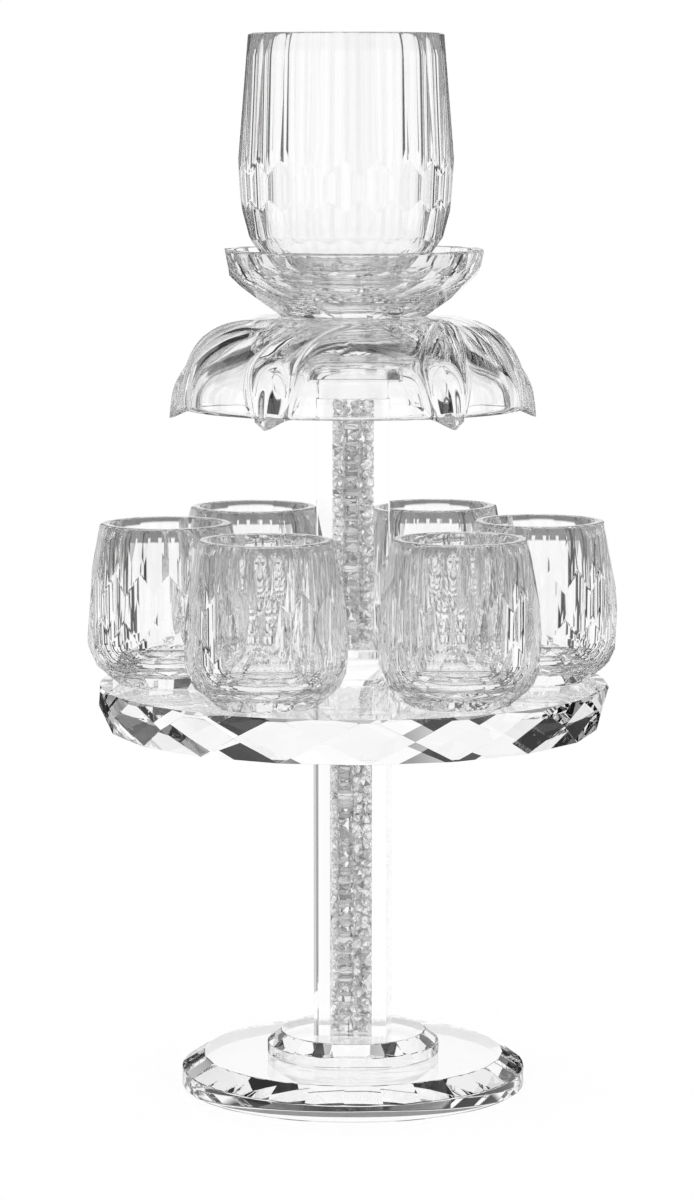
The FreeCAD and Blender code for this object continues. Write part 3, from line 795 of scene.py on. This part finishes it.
def thrownBack(tree, angle, sky):
    # thrown back inside the glass: more cards, from top to bottom, and grey far below
    cards = cardRing(tree, angle, studio["mirrorCards"], studio["mirrorHalfWidth"])
    pit = addNode(tree, "ShaderNodeMapRange",
                  {"From Min": studio["mirrorPit"] - studio["pitSoft"], "From Max": studio["mirrorPit"],
                   "To Min": studio["mirrorPitLevel"]}, {"Value": (sky, "Z")})
    return addNode(tree, "ShaderNodeMath", {"operation": "MULTIPLY"}, {0: (cards, 0), 1: (pit, 0)})


def studioWorld():
    # a white room to the eye and to every plain surface; only light inside glass meets the black cards that
    # stand round the object and the black ring overhead
    world = bpy.data.worlds.new("whiteStudio")
    bpy.context.scene.world = world
    tree = newTree(world)
    place = addNode(tree, "ShaderNodeTexCoord")
    rays = addNode(tree, "ShaderNodeLightPath")
    sky = addNode(tree, "ShaderNodeSeparateXYZ", links={"Vector": (place, "Generated")})
    angle = addNode(tree, "ShaderNodeMath", {"operation": "ARCTAN2"}, {0: (sky, "Y"), 1: (sky, "X")})
    angle = addNode(tree, "ShaderNodeMath", {"operation": "SUBTRACT", 1: math.radians(studio["turn"])},
                    {0: (angle, 0)})
    isThrown = addNode(tree, "ShaderNodeMath", {"operation": "MINIMUM", 1: 1.0}, {0: (rays, "Glossy Depth")})
    room = addNode(tree, "ShaderNodeMix", {"data_type": "FLOAT"},
                   {0: (isThrown, 0), 2: (seenThrough(tree, angle, sky), 0),
                    3: (thrownBack(tree, angle, sky), 0)})
    aboveRing = addNode(tree, "ShaderNodeMapRange", {"From Min": studio["ringHigh"],
                                                     "From Max": studio["ringHigh"] + studio["ringSoft"]},
                        {"Value": (sky, "Z")})
    belowRing = addNode(tree, "ShaderNodeMapRange", {"From Min": studio["ringLow"] + studio["ringSoft"],
                                                     "From Max": studio["ringLow"]}, {"Value": (sky, "Z")})
    ring = addNode(tree, "ShaderNodeMath", {"operation": "ADD"}, {0: (belowRing, 0), 1: (aboveRing, 0)})
    room = addNode(tree, "ShaderNodeMath", {"operation": "MULTIPLY"}, {0: (room, 0), 1: (ring, 0)})
    room = addNode(tree, "ShaderNodeMapRange", {"To Min": studio["cardLevel"], "To Max": 1.0},
                   {"Value": (room, 0)})
    inGlass = addNode(tree, "ShaderNodeMath", {"operation": "MAXIMUM"},
                      {0: (rays, "Is Glossy Ray"), 1: (rays, "Is Transmission Ray")})
    clear = addNode(tree, "ShaderNodeMath", {"operation": "LESS_THAN", 1: 0.5}, {0: (rays, "Diffuse Depth")})
    inGlass = addNode(tree, "ShaderNodeMath", {"operation": "MULTIPLY"}, {0: (inGlass, 0), 1: (clear, 0)})
    level = addNode(tree, "ShaderNodeMix", {"data_type": "FLOAT", 2: 1.0}, {0: (inGlass, 0), 3: (room, 0)})
    light = addNode(tree, "ShaderNodeBackground", {"Color": linearColour("#FFFFFF")},
                    {"Strength": (level, 0)})
    addNode(tree, "ShaderNodeOutputWorld", links={"Surface": (light, "Background")})


def studioCamera():
    data = bpy.data.cameras.new("studioCamera")
    data.lens, data.sensor_width = cameraSpot["lens"], cameraSpot["sensor"]
    data.clip_start, data.clip_end = 0.05, 20.0
    camera = bpy.data.objects.new("studioCamera", data)
    bpy.context.scene.collection.objects.link(camera)
    bpy.context.scene.camera = camera
    turn, distance = math.radians(cameraSpot["turn"]), cameraSpot["distance"]
    camera.location = Vector((math.sin(turn) * distance, -math.cos(turn) * distance, cameraSpot["eye"]))
    aside = Vector((math.cos(turn), math.sin(turn), 0)) * cameraSpot["aimAside"]
    aim = Vector((0, 0, cameraSpot["aimLevel"])) + aside
    camera.rotation_euler = (aim - camera.location).to_track_quat("-Z", "Y").to_euler()


studioFloor()
studioWorld()
studioCamera()
scene = bpy.context.scene
scene.view_settings.view_transform = "Standard"
scene.cycles.max_bounces = 40  # light crosses many walls of glass
scene.cycles.transmission_bounces = 40
scene.cycles.glossy_bounces = 24
scene.cycles.diffuse_bounces = 12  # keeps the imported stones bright
scene.cycles.blur_glossy = 0.0
print("studio done")
